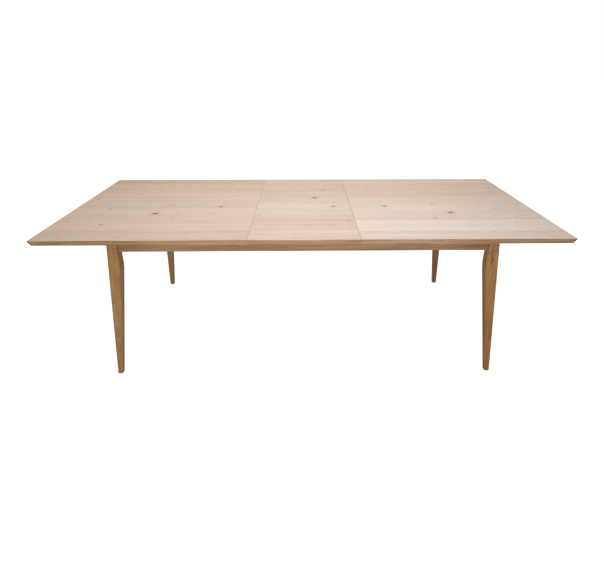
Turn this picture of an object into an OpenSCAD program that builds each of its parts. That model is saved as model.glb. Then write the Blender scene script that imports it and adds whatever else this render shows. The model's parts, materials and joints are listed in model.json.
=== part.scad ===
// Extendable dining table. Two halves of the top slide on a fixed four-legged frame,
// and a lift-out leaf fills the gap between them.
// X runs along the table, Y across it and Z up. The origin is on the floor, under the
// middle of the table. The leaf is in place, and the latches are open.

/* [Table] */
// Length of the top with the leaf in place
table_l = 2400; // [2000:10:2900]
// Width of the top
table_w = 1000; // [830:10:1250]
// Height of the top above the floor
table_h = 750; // [620:5:900]
// Length of the lift-out leaf, along the table
leaf_l = 500; // [410:5:620]

/* [Top] */
// Thickness of the boards of the top
top_t = 27; // [20:1:32]
// Height of the square lip above the undercut
lip_h = 5; // [3:0.5:8]
// How far the undercut goes in under the edge
undercut = 8; // [6:1:20]
// Gap in the seam between two boards of the top
seam = 0.4; // [0.3:0.1:1]

/* [Legs] */
// Width of a leg at its top
leg_top_w = 47; // [39:1:57]
// Width of a foot
foot_w = 28; // [24:1:36]
// How far a foot stands out past the top of its leg, each way
splay = 50; // [0:5:60]
// Height of the knee, where the leg begins to taper, below the table's surface
knee_drop = 175; // [130:5:260]
// Radius of a leg's rounded corners
leg_round = 8; // [3:1:10]
// From the end of the closed top to the top of a leg
leg_end_inset = 50; // [30:5:100]
// From the long edge of the top to the top of a leg
leg_side_inset = 75; // [50:5:120]
// Thickness of the nylon glide under a foot
glide_t = 3; // [2:0.5:5]

/* [Frame] */
// Height of the aprons
apron_h = 64; // [55:1:90]
// Thickness of the aprons
apron_t = 22; // [18:1:28]
// How far the aprons stand back from the outside of the legs
apron_set_back = 7; // [2:1:12]
// Gap between the frame and the sliding top
slide_gap = 2; // [1.5:0.5:4]
// Width of a cross rail
rail_w = 40; // [30:1:50]
// From the top's underside down to the cross rails
rail_drop = 22; // [20:1:28]
// From the end apron to the nearest cross rail's middle
outer_rail_inset = 271; // [200:5:300]
// From the seam to the middle of the cross rail under the leaf
inner_rail_inset = 100; // [85:5:130]

/* [Slides] */
// Width and height of a guide channel
channel_w = 30; // [26:1:36]
// Wall of a guide channel
channel_wall = 3; // [2:0.5:4]
// Width of the slot along the top of a guide channel
slot_w = 10; // [9:1:12]
// How far each half slides out past the seam to free the leaf
release = 30; // [20:5:40]
// Thickness of a runner's web
web_t = 6; // [4:1:7]
// Width of a runner's flange
flange_w = 40; // [36:1:46]

/* [Battens and latches] */
// Thickness of the battens under the halves
batten_t = 18; // [15:1:19]
// Width of the battens under the halves
batten_w = 60; // [40:5:70]
// Width of the battens under the leaf
leaf_batten_w = 50; // [40:5:60]
// From a latch's pivot to its keeper
latch_reach = 47; // [44:1:48]
// From a latch's pivot to the seam
latch_inset = 25; // [24:1:28]

/* [Hidden] */
$fn = 48;

// Gap left between two pieces that move past each other
play = 0.3;
// Gap round a pin that turns or slides in its hole
pin_play = 0.05;
// Extra reach of a cutting shape past the piece it cuts
past = 1;

// Heights
under_z = table_h - top_t;
frame_z = under_z - slide_gap;
apron_z = frame_z - apron_h;
rail_z = under_z - rail_drop;
knee_z = table_h - knee_drop;

// Ends of the pieces of the top
end_x = table_l / 2;
side_y = table_w / 2;
seam_x = leaf_l / 2;

// Legs: the outside of a leg leans out, and its inside is upright down to the knee
leg_x = end_x - seam_x - leg_end_inset;
leg_y = side_y - leg_side_inset;
leg_in_x = leg_x - leg_top_w;
leg_in_y = leg_y - leg_top_w;
foot_chamfer = 2;
nail_r = 2;
nail_l = 15;
glide_r = foot_w / 2 - 3;

// Inner faces of the aprons
frame_x = leg_x - apron_set_back - apron_t;
frame_y = leg_y - apron_set_back - apron_t;

// Corner blocks: distances from the aprons' inner corner, along one arm
block_gap = 9;
block_near = 2 * (frame_x - leg_in_x) + block_gap;
block_far = block_near + 40;
block_h = apron_h - 13;
block_z = apron_z + 2;
block_seat = 12;

// Hanger bolts: distances along the diagonal, from the aprons' inner corner inwards
bolt_r = 4;
bolt_play = 0.5;
bolt_depth = 22;
bolt_out = 16;
bolt_pitch = 24;
washer_r = 10;
washer_t = 2;
nut_r = 7.5;
nut_t = 6.5;

// Screws
screw_r = 2;
screw_head_r = 4;
screw_head_h = 2.5;
screw_point = 3;
screw_bite = 12;

// Guide channels and runners
channel_gap = 3;
channel_clear = 16;
channel_x = frame_x - channel_gap;
channel_y = frame_y - block_far - channel_clear - channel_w / 2;
channel_top_z = under_z - 5;
channel_z = channel_top_z - channel_w;
floor_z = channel_z + channel_wall;
bay_w = channel_w - 2 * channel_wall;
end_stop_l = 8;
middle_stop_l = 40;
flange_t = 3;
runner_out_x = channel_x - end_stop_l - play - release;
runner_in_x = seam_x + middle_stop_l / 2 + play;
web_z = floor_z + 7;
shoe_l = 60;

// Cross rails
outer_rail_x = frame_x - outer_rail_inset;
inner_rail_x = seam_x - inner_rail_inset;
tenon_l = 10;
tenon_w = rail_w - 16;
tenon_h = rail_z - apron_z - 13;

// Battens
batten_half = channel_y - channel_w / 2 - 10;
batten_end_gap = 31;
batten_seam_gap = 50;
outer_batten_x = frame_x - release - batten_w / 2 - batten_end_gap;
inner_batten_x = seam_x + batten_seam_gap + batten_w / 2;
pad_t = 2;
leaf_batten_t = rail_drop - pad_t;
batten_screw_in = 25;
batten_screw_pitch = 120;

// Pads and locating pins of the leaf
pad_size = [30, 40];
pad_y = batten_half - 75;
pin_r = 4;
pin_y = 48;
pin_drop = 17;
pin_up = 10;
socket_r = 6;
socket_depth = 18;

// Latches
latch_y = channel_y - 130;
plate_t = 2;
lever_t = 4;
lever_len = 58;
lever_r1 = 10;
lever_r2 = 8;
pivot_r = 3;
rivet_head_r = 6;
rivet_head_t = 2.5;
tab_r = 5;
tab_drop = 12;
tab_at = lever_len + 1;
lever_z = under_z - plate_t - play - lever_t;
plate_w = 36;
plate_screw = 12;
keeper_w = 30;

OAK_TOP = [0.86, 0.76, 0.66];
OAK_FRAME = [0.62, 0.46, 0.31];
BEECH = [0.78, 0.66, 0.50];
STEEL = [0.72, 0.72, 0.73];
ALLOY = [0.80, 0.81, 0.82];
BRASS = [0.80, 0.65, 0.35];
NYLON = [0.12, 0.12, 0.13];
FELT = [0.35, 0.34, 0.33];

// ---- Helpers ----

// A box from its lowest corner to its highest
module box(lo, hi) {
    translate(lo) cube(hi - lo);
}

// A section drawn in Y and Z, run along X
module run_x(x0, x1) {
    translate([x0, 0, 0]) rotate([90, 0, 90]) linear_extrude(x1 - x0) children();
}

// A section drawn in X and Z, run along Y
module run_y(y0, y1) {
    translate([0, y1, 0]) rotate([90, 0, 0]) linear_extrude(y1 - y0) children();
}

// A piece drawn on the right, put on side sx
module on_x(sx) {
    if (sx < 0) mirror([1, 0, 0]) children();
    else children();
}

// A piece drawn at the rear, put on side sy
module on_y(sy) {
    if (sy < 0) mirror([0, 1, 0]) children();
    else children();
}

// A countersunk wood screw that points up, with its head's face at z = 0
module screw(length) {
    rotate_extrude() polygon([
        [0, 0], [screw_head_r, 0], [screw_r, screw_head_h],
        [screw_r, length - screw_point], [0, length]
    ]);
}

// ---- Top ----

// Section across the table: a square lip above an undercut edge
module across_section() {
    polygon([
        [-side_y + undercut, under_z], [side_y - undercut, under_z],
        [side_y, table_h - lip_h], [side_y, table_h],
        [-side_y, table_h], [-side_y, table_h - lip_h]
    ]);
}

// Section along the right half: undercut at its end and square at the seam
module along_section() {
    polygon([
        [seam_x + seam / 2, under_z], [end_x - undercut, under_z],
        [end_x, table_h - lip_h], [end_x, table_h], [seam_x + seam / 2, table_h]
    ]);
}

// Screws of one half, drawn on the right; the latch plates' screws are placed apart
module half_screws() {
    for (x = [outer_batten_x, inner_batten_x]) batten_screws(x, batten_t);
    for (sy = [-1, 1], x = runner_screw_xs(), dy = [-1, 1])
        translate([x, sy * channel_y + dy * (web_t + flange_w) / 4, under_z - flange_t])
            screw(flange_t + screw_bite);
}

function runner_screw_xs() =
    [runner_in_x + shoe_l / 2, (runner_in_x + runner_out_x) / 2, runner_out_x - shoe_l / 2];

// Screws up through one batten
module batten_screws(x, thick) {
    for (sy = [-1, 1], d = [batten_screw_in, batten_screw_in + batten_screw_pitch])
        translate([x, sy * (batten_half - d), under_z - thick]) screw(thick + screw_bite);
}

// Screws of the lever plates, whose pivots lie left of the seam at x
module base_screws(x) {
    for (sy = [-1, 1], d = [-1, 1])
        translate([x - latch_inset + d * plate_screw, sy * latch_y + d * plate_screw, under_z - plate_t])
            screw(plate_t + screw_bite);
}

// Screws of the keeper plates, whose studs lie right of the seam at x
module keeper_screws(x) {
    for (sy = [-1, 1], d = [-1, 1])
        translate([x - latch_inset + latch_reach, sy * latch_y + d * plate_screw, under_z - plate_t])
            screw(plate_t + screw_bite);
}

module top_half() {
    intersection() {
        run_x(seam_x, end_x) across_section();
        run_y(-side_y, side_y) along_section();
    }
}

module top_left() {
    color(OAK_TOP) difference() {
        on_x(-1) top_half();
        wood_screws_left();
    }
}

module top_right() {
    color(OAK_TOP) difference() {
        top_half();
        wood_screws_right();
    }
}

module leaf_panel() {
    color(OAK_TOP) difference() {
        run_x(-seam_x + seam / 2, seam_x - seam / 2) across_section();
        wood_screws_leaf();
    }
}

module wood_screws_left() {
    color(STEEL) {
        on_x(-1) half_screws();
        base_screws(-seam_x);
    }
}

module wood_screws_right() {
    color(STEEL) {
        half_screws();
        keeper_screws(seam_x);
    }
}

module wood_screws_leaf() {
    color(STEEL) {
        for (sx = [-1, 1]) batten_screws(sx * inner_rail_x, leaf_batten_t);
        keeper_screws(-seam_x);
        base_screws(seam_x);
    }
}

// ---- Battens ----

module batten(x, wide, thick) {
    difference() {
        box([x - wide / 2, -batten_half, under_z - thick], [x + wide / 2, batten_half, under_z]);
        batten_screws(x, thick);
    }
}

module batten_outer_left() { color(BEECH) batten(-outer_batten_x, batten_w, batten_t); }
module batten_inner_left() { color(BEECH) batten(-inner_batten_x, batten_w, batten_t); }
module batten_inner_right() { color(BEECH) batten(inner_batten_x, batten_w, batten_t); }
module batten_outer_right() { color(BEECH) batten(outer_batten_x, batten_w, batten_t); }

module leaf_batten(x) {
    color(BEECH) difference() {
        batten(x, leaf_batten_w, leaf_batten_t);
        pins_at(x);
    }
}

module leaf_batten_left() { leaf_batten(-inner_rail_x); }
module leaf_batten_right() { leaf_batten(inner_rail_x); }

// Two upright pins that hang from a leaf batten into the cross rail, with tapered tips
module pins_at(x) {
    tip = 3;
    for (sy = [-1, 1]) translate([x, sy * pin_y, under_z - leaf_batten_t - pin_drop])
        rotate_extrude() polygon([
            [0, 0], [pin_r - 1.5, 0], [pin_r, tip],
            [pin_r, pin_drop + pin_up], [0, pin_drop + pin_up]
        ]);
}

module locating_pins() {
    color(BRASS) for (sx = [-1, 1]) pins_at(sx * inner_rail_x);
}

// ---- Legs ----

// Thin level slice of a leg: from the inner corner to the outer one, with round corners
module leg_slice(z, inner, outer, r) {
    for (x = [inner[0] + r, outer[0] - r], y = [inner[1] + r, outer[1] - r])
        translate([x, y, z]) cylinder(h = 0.02, r = r, $fn = 32);
}

// How far the outside of a leg leans out at height z
function lean(z) = splay * (under_z - z) / under_z;

module leg() {
    foot = [leg_x + splay, leg_y + splay];
    foot_r = foot_w / 2 - foot_chamfer - 1;
    inner = [leg_in_x, leg_in_y];
    foot_in = foot - [foot_w, foot_w];
    chamfer = [foot_chamfer, foot_chamfer];
    color(OAK_FRAME) difference() {
        hull() {
            leg_slice(frame_z - 0.02, inner, [leg_x + lean(frame_z), leg_y + lean(frame_z)], leg_round);
            leg_slice(knee_z, inner, [leg_x + lean(knee_z), leg_y + lean(knee_z)], leg_round);
            leg_slice(glide_t + foot_chamfer, foot_in, foot, foot_r);
            leg_slice(glide_t, foot_in + chamfer, foot - chamfer, foot_r);
        }
        bolts();
        nail();
    }
}

// Nail of a glide, up into the foot
module nail() {
    translate([leg_x + splay - foot_w / 2, leg_y + splay - foot_w / 2, glide_t - past])
        cylinder(h = nail_l + past, r = nail_r);
}

module glide() {
    translate([leg_x + splay - foot_w / 2, leg_y + splay - foot_w / 2, 0]) rotate_extrude() polygon([
        [0, 0], [glide_r - 1, 0], [glide_r, 1], [glide_r, glide_t],
        [nail_r, glide_t], [nail_r, glide_t + nail_l], [0, glide_t + nail_l]
    ]);
}

module leg_front_left() { on_x(-1) on_y(-1) leg(); }
module leg_front_right() { on_y(-1) leg(); }
module leg_rear_left() { on_x(-1) leg(); }
module leg_rear_right() { leg(); }

module foot_glides() {
    color(NYLON) for (sx = [-1, 1], sy = [-1, 1]) on_x(sx) on_y(sy) glide();
}

// ---- Corner blocks and hanger bolts ----

// Runs its children along the diagonal, pointing inwards from the aprons' inner corner
module on_diagonal(z, from) {
    translate([frame_x, frame_y, z]) rotate([0, 0, 225]) translate([from, 0, 0]) rotate([0, 90, 0])
        children();
}

function bolt_zs() = [for (d = [-1, 1]) block_z + block_h / 2 + d * bolt_pitch / 2];

module bolts(extra = 0) {
    for (z = bolt_zs()) on_diagonal(z, -bolt_depth)
        cylinder(h = bolt_depth + block_far / sqrt(2) + bolt_out, r = bolt_r + extra);
}

module washers() {
    for (z = bolt_zs()) on_diagonal(z, block_far / sqrt(2)) difference() {
        cylinder(h = washer_t, r = washer_r);
        translate([0, 0, -past]) cylinder(h = washer_t + 2 * past, r = bolt_r);
    }
}

module nuts() {
    for (z = bolt_zs()) on_diagonal(z, block_far / sqrt(2) + washer_t) difference() {
        cylinder(h = nut_t, r = nut_r, $fn = 6);
        translate([0, 0, -past]) cylinder(h = nut_t + 2 * past, r = bolt_r);
    }
}

// One block's two screws; each head sits in a pocket, and its shank bites into an apron
module corner_screws(pocket = 0) {
    at = (block_near + block_far) / 2;
    z = block_z + block_h / 2;
    translate([frame_x - at, frame_y - block_seat, z]) rotate([-90, 0, 0]) screw_in_pocket(pocket);
    translate([frame_x - block_seat, frame_y - at, z]) rotate([0, 90, 0]) screw_in_pocket(pocket);
}

module screw_in_pocket(pocket) {
    screw(block_seat + screw_bite);
    if (pocket > 0) translate([0, 0, -pocket]) cylinder(h = pocket, r = screw_head_r + 1);
}

module corner_block() {
    color(BEECH) difference() {
        translate([0, 0, block_z]) linear_extrude(block_h) polygon([
            [frame_x - block_far, frame_y], [frame_x - block_near, frame_y],
            [frame_x, frame_y - block_near], [frame_x, frame_y - block_far]
        ]);
        bolts(bolt_play);
        corner_screws(block_far);
    }
}

module corner_block_front_left() { on_x(-1) on_y(-1) corner_block(); }
module corner_block_front_right() { on_y(-1) corner_block(); }
module corner_block_rear_left() { on_x(-1) corner_block(); }
module corner_block_rear_right() { corner_block(); }

module hanger_bolts() {
    color(STEEL) for (sx = [-1, 1], sy = [-1, 1]) on_x(sx) on_y(sy) bolts();
}

module hanger_washers() {
    color(STEEL) for (sx = [-1, 1], sy = [-1, 1]) on_x(sx) on_y(sy) washers();
}

module hanger_nuts() {
    color(STEEL) for (sx = [-1, 1], sy = [-1, 1]) on_x(sx) on_y(sy) nuts();
}

module block_screws() {
    color(STEEL) for (sx = [-1, 1], sy = [-1, 1]) on_x(sx) on_y(sy) corner_screws();
}

// ---- Aprons and cross rails ----

// Rear apron, with a mortise for each cross rail
module long_apron() {
    color(OAK_FRAME) difference() {
        box([-leg_in_x, frame_y, apron_z], [leg_in_x, frame_y + apron_t, frame_z]);
        for (x = rail_xs()) tenons(x);
        for (sx = [-1, 1]) on_x(sx) corner_screws();
    }
}

// Right apron
module short_apron() {
    color(OAK_FRAME) difference() {
        box([frame_x, -leg_in_y, apron_z], [frame_x + apron_t, leg_in_y, frame_z]);
        for (sy = [-1, 1]) on_y(sy) corner_screws();
    }
}

function rail_xs() = [-outer_rail_x, -inner_rail_x, inner_rail_x, outer_rail_x];

module tenons(x) {
    low = (apron_z + rail_z - tenon_h) / 2;
    box([x - tenon_w / 2, -frame_y - tenon_l, low], [x + tenon_w / 2, frame_y + tenon_l, low + tenon_h]);
}

module cross_rail(x) {
    color(OAK_FRAME) difference() {
        union() {
            box([x - rail_w / 2, -frame_y, apron_z], [x + rail_w / 2, frame_y, rail_z]);
            tenons(x);
        }
        for (sy = [-1, 1]) box(
            [x - rail_w / 2 - past, sy * channel_y - channel_w / 2, channel_z],
            [x + rail_w / 2 + past, sy * channel_y + channel_w / 2, rail_z + past]
        );
        channel_screws();
    }
}

module inner_cross_rail(x) {
    color(OAK_FRAME) difference() {
        cross_rail(x);
        for (sy = [-1, 1]) translate([x, sy * pin_y, rail_z - socket_depth])
            cylinder(h = socket_depth + past, r = socket_r);
    }
}

module apron_front() { on_y(-1) long_apron(); }
module apron_rear() { long_apron(); }
module apron_left() { on_x(-1) short_apron(); }
module apron_right() { short_apron(); }
module cross_rail_outer_left() { cross_rail(-outer_rail_x); }
module cross_rail_inner_left() { inner_cross_rail(-inner_rail_x); }
module cross_rail_inner_right() { inner_cross_rail(inner_rail_x); }
module cross_rail_outer_right() { cross_rail(outer_rail_x); }

// Brass sleeves in the inner cross rails, which the leaf's pins drop into
module pin_sockets() {
    color(BRASS) for (sx = [-1, 1], sy = [-1, 1])
        translate([sx * inner_rail_x, sy * pin_y, rail_z - socket_depth]) difference() {
            cylinder(h = socket_depth, r = socket_r);
            translate([0, 0, -past]) cylinder(h = socket_depth + 2 * past, r = pin_r + pin_play);
        }
}

// Felt pads that the leaf rests on
module leaf_rest_pads() {
    color(FELT) for (sx = [-1, 1], sy = [-1, 1]) {
        middle = [sx * inner_rail_x, sy * pad_y];
        box(concat(middle - pad_size / 2, rail_z), concat(middle + pad_size / 2, rail_z + pad_t));
    }
}

// Felt strips along the tops of the aprons, just under the sliding halves
module slide_pads() {
    strip_w = 14;
    long_l = 300;
    short_l = 400;
    top = under_z - play;
    color(FELT) for (s = [-1, 1]) {
        on_x(s) translate([frame_x + (apron_t - strip_w) / 2, -short_l / 2, frame_z])
            cube([strip_w, short_l, top - frame_z]);
        for (t = [-1, 1]) on_x(s) on_y(t)
            translate([leg_in_x - long_l, frame_y + (apron_t - strip_w) / 2, frame_z])
                cube([long_l - strip_w, strip_w, top - frame_z]);
    }
}

// ---- Guide channels and their stops ----

module channel_section() {
    half = channel_w / 2;
    polygon([
        [-half, channel_z], [half, channel_z], [half, channel_top_z], [slot_w / 2, channel_top_z],
        [slot_w / 2, channel_top_z - channel_wall], [bay_w / 2, channel_top_z - channel_wall],
        [bay_w / 2, floor_z], [-bay_w / 2, floor_z], [-bay_w / 2, channel_top_z - channel_wall],
        [-slot_w / 2, channel_top_z - channel_wall], [-slot_w / 2, channel_top_z], [-half, channel_top_z]
    ]);
}

module guide_channel(sy) {
    color(ALLOY) difference() {
        translate([0, sy * channel_y, 0]) run_x(-channel_x, channel_x) channel_section();
        channel_screws();
    }
}

module guide_channel_front() { guide_channel(-1); }
module guide_channel_rear() { guide_channel(1); }

// Screws down through the channels' floors into the cross rails
module channel_screws() {
    color(STEEL) for (x = rail_xs(), sy = [-1, 1])
        translate([x, sy * channel_y, floor_z]) rotate([180, 0, 0]) screw(channel_wall + screw_bite);
}

// A block that fills a channel's bay from x0 to x1
module bay_block(x0, x1) {
    for (sy = [-1, 1]) box(
        [x0, sy * channel_y - bay_w / 2, floor_z],
        [x1, sy * channel_y + bay_w / 2, channel_top_z - channel_wall]
    );
}

module channel_end_stops() {
    color(NYLON) for (sx = [-1, 1]) on_x(sx) bay_block(channel_x - end_stop_l, channel_x);
}

module channel_middle_stops() {
    color(NYLON) bay_block(-middle_stop_l / 2, middle_stop_l / 2);
}

// ---- Runners and shoes ----

// T-shaped bar under a half: its flange is screwed to the top and its web hangs in the channel
module runner(sx, sy) {
    color(ALLOY) difference() {
        on_x(sx) translate([0, sy * channel_y, 0]) run_x(runner_in_x, runner_out_x) polygon([
            [-web_t / 2, web_z], [web_t / 2, web_z], [web_t / 2, under_z - flange_t],
            [flange_w / 2, under_z - flange_t], [flange_w / 2, under_z], [-flange_w / 2, under_z],
            [-flange_w / 2, under_z - flange_t], [-web_t / 2, under_z - flange_t]
        ]);
        on_x(sx) half_screws();
    }
}

module runner_front_left() { runner(-1, -1); }
module runner_rear_left() { runner(-1, 1); }
module runner_front_right() { runner(1, -1); }
module runner_rear_right() { runner(1, 1); }

// Nylon shoes that clip over the ends of a half's webs and slide on the channels' floors
module shoes() {
    half = bay_w / 2 - play;
    roof = channel_top_z - channel_wall - play;
    for (sy = [-1, 1], x = [runner_in_x, runner_out_x - shoe_l])
        translate([0, sy * channel_y, 0]) run_x(x, x + shoe_l) polygon([
            [-half, floor_z], [half, floor_z], [half, roof], [web_t / 2, roof],
            [web_t / 2, web_z], [-web_t / 2, web_z], [-web_t / 2, roof], [-half, roof]
        ]);
}

module glide_shoes_left() { color(NYLON) on_x(-1) shoes(); }
module glide_shoes_right() { color(NYLON) shoes(); }

// ---- Latches ----

// A riveted stud that hangs down under a plate, with a head below the lever
module stud(head_r) {
    translate([0, 0, lever_z - play - rivet_head_t]) cylinder(h = rivet_head_t, r = head_r);
    translate([0, 0, lever_z - play]) cylinder(h = under_z - lever_z + play, r = pivot_r);
}

// A plate with screw holes and a stud, under the top at x
module plate(x, sy, wide, head_r) {
    translate([x, sy * latch_y, 0]) {
        box([-wide / 2, -plate_w / 2, under_z - plate_t], [wide / 2, plate_w / 2, under_z]);
        stud(head_r);
    }
}

// Plates that carry the levers, left of the seam at x
module latch_bases(x) {
    color(STEEL) difference() {
        for (sy = [-1, 1]) plate(x - latch_inset, sy, plate_w, rivet_head_r);
        base_screws(x);
    }
}

// Plates whose studs the levers hook on, right of the seam at x
module latch_keepers(x) {
    color(STEEL) difference() {
        for (sy = [-1, 1]) plate(x - latch_inset + latch_reach, sy, keeper_w, rivet_head_r - 0.5);
        keeper_screws(x);
    }
}

module latch_bases_left() { latch_bases(-seam_x); }
module latch_bases_leaf() { latch_bases(seam_x); }
module latch_keepers_leaf() { latch_keepers(-seam_x); }
module latch_keepers_right() { latch_keepers(seam_x); }

// A lever that points to +Y when open. A curved notch, open on its leading side, takes the
// keeper's stud as the lever turns towards +X.
module latch_lever(x, sy) {
    grip = pivot_r + play;
    color(STEEL) translate([x - latch_inset, sy * latch_y, lever_z]) {
        difference() {
            union() {
                cylinder(h = lever_t, r = lever_r1);
                translate([0, lever_len, 0]) cylinder(h = lever_t, r = lever_r2);
                linear_extrude(lever_t) polygon([
                    [-lever_r1, 0], [lever_r1, 0], [lever_r2, lever_len], [-lever_r2, lever_len]
                ]);
                translate([0, tab_at, -tab_drop]) cylinder(h = tab_drop, r = tab_r);
            }
            translate([0, 0, -past]) cylinder(h = lever_t + 2 * past, r = pivot_r + pin_play);
            translate([0, latch_reach, -past]) cylinder(h = lever_t + 2 * past, r = grip);
            translate([0, 0, -past]) intersection() {
                difference() {
                    cylinder(h = lever_t + 2 * past, r = latch_reach + grip);
                    translate([0, 0, -past]) cylinder(h = lever_t + 4 * past, r = latch_reach - grip);
                }
                cube([latch_reach, latch_reach + 2 * grip, lever_t + 2 * past]);
            }
        }
    }
}

module latch_lever_front_left() { latch_lever(-seam_x, -1); }
module latch_lever_rear_left() { latch_lever(-seam_x, 1); }
module latch_lever_front_right() { latch_lever(seam_x, -1); }
module latch_lever_rear_right() { latch_lever(seam_x, 1); }

top_left();
top_right();
leaf_panel();
leg_front_left();
leg_front_right();
leg_rear_left();
leg_rear_right();
apron_front();
apron_rear();
apron_left();
apron_right();
corner_block_front_left();
corner_block_front_right();
corner_block_rear_left();
corner_block_rear_right();
hanger_bolts();
hanger_washers();
hanger_nuts();
block_screws();
cross_rail_outer_left();
cross_rail_inner_left();
cross_rail_inner_right();
cross_rail_outer_right();
guide_channel_front();
guide_channel_rear();
channel_screws();
channel_end_stops();
channel_middle_stops();
foot_glides();
slide_pads();
leaf_rest_pads();
pin_sockets();
runner_front_left();
runner_rear_left();
runner_front_right();
runner_rear_right();
glide_shoes_left();
glide_shoes_right();
batten_outer_left();
batten_inner_left();
batten_inner_right();
batten_outer_right();
leaf_batten_left();
leaf_batten_right();
locating_pins();
wood_screws_left();
wood_screws_right();
wood_screws_leaf();
latch_bases_left();
latch_bases_leaf();
latch_keepers_leaf();
latch_keepers_right();
latch_lever_front_left();
latch_lever_rear_left();
latch_lever_front_right();
latch_lever_rear_right();
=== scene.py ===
# %% [markdown]
# # A dining table that grows
# The table is pale oak. Its top is two sliding halves with a lift-out leaf between them,
# and it stands on four leaning legs joined by aprons. The moving frame comes ready made and exact.
# Here the parts that are seen get softened edges and real timber, and the hidden fittings get
# their metals, felt and nylon. Everything is in metres: X runs along the table, Y across it, and
# Z up, with the origin on the floor under the middle.

# %% The frame
import json
import math

import bmesh
import bpy
from mathutils import Matrix, Vector


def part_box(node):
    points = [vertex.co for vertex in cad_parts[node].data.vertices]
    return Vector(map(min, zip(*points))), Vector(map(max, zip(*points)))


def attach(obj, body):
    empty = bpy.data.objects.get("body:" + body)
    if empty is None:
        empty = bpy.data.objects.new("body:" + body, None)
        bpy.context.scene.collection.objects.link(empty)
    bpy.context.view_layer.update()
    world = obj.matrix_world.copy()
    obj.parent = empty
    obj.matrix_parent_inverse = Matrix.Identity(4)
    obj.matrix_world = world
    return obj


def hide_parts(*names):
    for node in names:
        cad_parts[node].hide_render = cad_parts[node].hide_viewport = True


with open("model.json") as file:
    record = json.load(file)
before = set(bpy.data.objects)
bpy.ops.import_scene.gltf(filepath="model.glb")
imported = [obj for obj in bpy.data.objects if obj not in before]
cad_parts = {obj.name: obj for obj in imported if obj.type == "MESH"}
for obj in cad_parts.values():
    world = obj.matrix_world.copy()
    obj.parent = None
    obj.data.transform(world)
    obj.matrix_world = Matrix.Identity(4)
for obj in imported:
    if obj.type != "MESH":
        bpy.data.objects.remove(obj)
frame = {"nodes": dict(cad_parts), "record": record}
scene = bpy.context.scene
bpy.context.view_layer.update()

# %% [markdown]
# ## Working in edit mode by rule
# A maker picks an edge with a finger. Here a rule does it: every corner, edge or face whose
# place passes a test is selected, and then one operator acts on all of them. Nothing else may
# be selected before a new block is added, so each block starts by clearing the selection.

# %% Picking and starting a block
TINY = 0.0001


def nothing_selected():
    if bpy.context.mode != "OBJECT":
        bpy.ops.object.mode_set(mode="OBJECT")
    bpy.ops.object.select_all(action="DESELECT")


def start_block(name, low, high):
    """A cube between two corners, open in edit mode."""
    nothing_selected()
    middle = [(a + b) / 2 for a, b in zip(low, high)]
    bpy.ops.mesh.primitive_cube_add(size=1, location=middle)
    piece = bpy.context.object
    piece.scale = [b - a for a, b in zip(low, high)]
    bpy.ops.object.transform_apply(location=True, rotation=True, scale=True)
    piece.name = piece.data.name = name
    bpy.ops.object.mode_set(mode="EDIT")
    return piece


def pick_corners(test):
    mesh = bmesh.from_edit_mesh(bpy.context.edit_object.data)
    bpy.ops.mesh.select_mode(type="VERT")
    bpy.ops.mesh.select_all(action="DESELECT")
    for corner in mesh.verts:
        corner.select_set(bool(test(corner.co)))
    mesh.select_flush_mode()
    bmesh.update_edit_mesh(bpy.context.edit_object.data)


def pick_edges(test):
    """The test is given an edge's two ends."""
    bpy.ops.mesh.select_mode(type="EDGE")
    bpy.ops.mesh.select_all(action="DESELECT")
    mesh = bmesh.from_edit_mesh(bpy.context.edit_object.data)
    for edge in mesh.edges:
        edge.select_set(bool(test(edge.verts[0].co, edge.verts[1].co)))
    bmesh.update_edit_mesh(bpy.context.edit_object.data)


def cut_all_round(point, normal):
    """A flat cut through the whole block, which only adds edges."""
    bpy.ops.mesh.select_all(action="SELECT")
    bpy.ops.mesh.bisect(plane_co=point, plane_no=normal)


def move_corners(test, by):
    pick_corners(test)
    bpy.ops.transform.translate(value=by)


def soften(test, radius, steps):
    """Rounds the edges that pass the test."""
    pick_edges(test)
    bpy.ops.mesh.bevel(offset=radius, offset_type="OFFSET", segments=steps, affect="EDGES",
                       profile=0.5, clamp_overlap=True)


def close_up(piece, smooth_angle=40):
    """Leaves edit mode with the faces outwards and the rounded edges smooth."""
    bpy.ops.mesh.select_all(action="SELECT")
    bpy.ops.mesh.remove_doubles(threshold=0.00001)
    bpy.ops.mesh.normals_make_consistent(inside=False)
    nothing_selected()
    piece.select_set(True)
    bpy.context.view_layer.objects.active = piece
    bpy.ops.object.shade_smooth_by_angle(angle=math.radians(smooth_angle))
    sides = [len(face.vertices) - 2 for face in piece.data.polygons]
    print(piece.name, "has", sum(sides), "triangles, size",
          [round(side * 1000, 1) for side in piece.dimensions], "mm")
    return piece


def mirrored(piece, name, along_x=1, along_y=1):
    """A copy with its own mesh, mirrored across the table's middle."""
    nothing_selected()
    piece.select_set(True)
    bpy.context.view_layer.objects.active = piece
    bpy.ops.object.duplicate()
    copy = bpy.context.object
    copy.name = copy.data.name = name
    copy.scale = (along_x, along_y, 1)
    bpy.ops.object.transform_apply(location=True, rotation=True, scale=True)
    bpy.ops.object.mode_set(mode="EDIT")
    return close_up(copy)


# %% [markdown]
# ## The top
# Each half is a 27 mm panel glued up from boards. Its three free sides have a thin upright lip,
# and below the lip the edge is planed back underneath, so that the heavy top looks light. The
# side that meets the leaf is cut square. The edge could be a profile swept round the panel, but
# its corners would need care. On the bench it is one pass with a tilted blade, and the same is
# done here: a level cut marks the lip, and then the bottom corners move inwards. The real edges
# are never sharp: the upper one is sanded round, and the seams only have the corner taken off.

# %% The two halves
LIP = 0.005
UNDERCUT = 0.008
ARRIS = 0.0014          # radius of the sanded top edge
SEAM_ARRIS = 0.0005     # at a seam only the sharpness is taken off

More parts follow.
